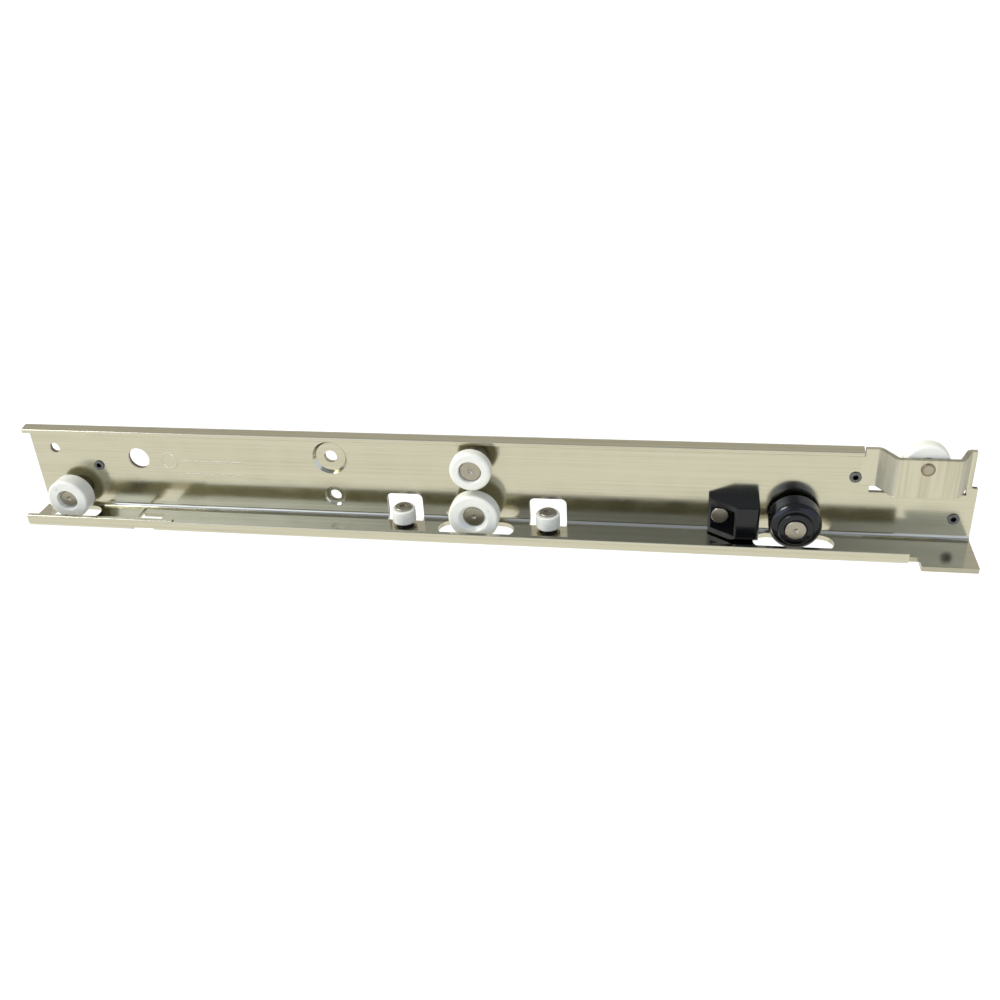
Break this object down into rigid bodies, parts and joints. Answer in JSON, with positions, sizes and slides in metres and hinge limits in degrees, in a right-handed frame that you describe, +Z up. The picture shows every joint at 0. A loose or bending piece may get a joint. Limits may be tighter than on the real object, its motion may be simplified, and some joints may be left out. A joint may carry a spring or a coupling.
{
  "type": "drawer slide carriage rail",
  "caption": "Pressed steel carriage rail of a full-extension drawer slide, with nylon rollers on riveted axles, a buffer roller and a stop block.",
  "frame": {"origin": "middle of the rail's length, where the plane of the web's front face meets the plane of the bottom flange's underside", "axes": "+X along the rail towards the end with the bridge, +Y from the channel's open front to the back of the web, +Z up"},
  "size_m": [0.5, 0.0313, 0.0595],
  "materials": {
    "zinc_plated_steel": "bright zinc plating on pressed sheet",
    "white_nylon": "moulded, satin",
    "black_acetal": "moulded, semi-gloss",
    "axle_steel": "cold-headed and zinc plated",
    "spacer_steel": "turned and zinc plated",
    "dark_rivet_steel": "black oxide"
  },
  "bodies": {
    "carriage": {"rail": "zinc_plated_steel", "left_roller_axle": "axle_steel", "left_roller_spacer": "spacer_steel", "upper_roller_axle": "axle_steel", "upper_roller_spacer": "spacer_steel", "lower_roller_axle": "axle_steel", "lower_roller_spacer": "spacer_steel", "buffer_roller_axle": "axle_steel", "buffer_roller_spacer": "spacer_steel", "rear_roller_axle": "axle_steel", "rear_roller_washer": "spacer_steel", "guide_axle_left": "axle_steel", "guide_washer_left": "dark_rivet_steel", "guide_axle_right": "axle_steel", "guide_washer_right": "dark_rivet_steel", "stop_block": "black_acetal", "stop_block_rivet": "axle_steel", "small_rivets": "dark_rivet_steel"},
    "left_roller": {"left_roller": "white_nylon"},
    "upper_roller": {"upper_roller": "white_nylon"},
    "lower_roller": {"lower_roller": "white_nylon"},
    "buffer_roller": {"buffer_roller": "black_acetal"},
    "rear_roller": {"rear_roller": "white_nylon"},
    "guide_roller_left": {"guide_roller_left": "white_nylon"},
    "guide_roller_right": {"guide_roller_right": "white_nylon"}
  },
  "joints": [
    {"name": "left_roller_spin", "type": "hinge", "parent": "carriage", "child": "left_roller", "pos_m": [-0.2286, -0.0094, 0.0128], "axis": [0, 1, 0], "continuous": true},
    {"name": "upper_roller_spin", "type": "hinge", "parent": "carriage", "child": "upper_roller", "pos_m": [0.0023, -0.011, 0.0386], "axis": [0, 1, 0], "continuous": true},
    {"name": "lower_roller_spin", "type": "hinge", "parent": "carriage", "child": "lower_roller", "pos_m": [0.0023, -0.0101, 0.0112], "axis": [0, 1, 0], "continuous": true},
    {"name": "buffer_roller_spin", "type": "hinge", "parent": "carriage", "child": "buffer_roller", "pos_m": [0.165, -0.0093, 0.0134], "axis": [0, 1, 0], "continuous": true},
    {"name": "rear_roller_spin", "type": "hinge", "parent": "carriage", "child": "rear_roller", "pos_m": [0.2233, -0.00367, 0.0464], "axis": [0, 1, 0], "continuous": true},
    {"name": "guide_roller_left_spin", "type": "hinge", "parent": "carriage", "child": "guide_roller_left", "pos_m": [-0.037, -0.0063, 0.00812], "axis": [0, 0, 1], "continuous": true},
    {"name": "guide_roller_right_spin", "type": "hinge", "parent": "carriage", "child": "guide_roller_right", "pos_m": [0.0406, -0.0063, 0.00812], "axis": [0, 0, 1], "continuous": true}
  ]
}
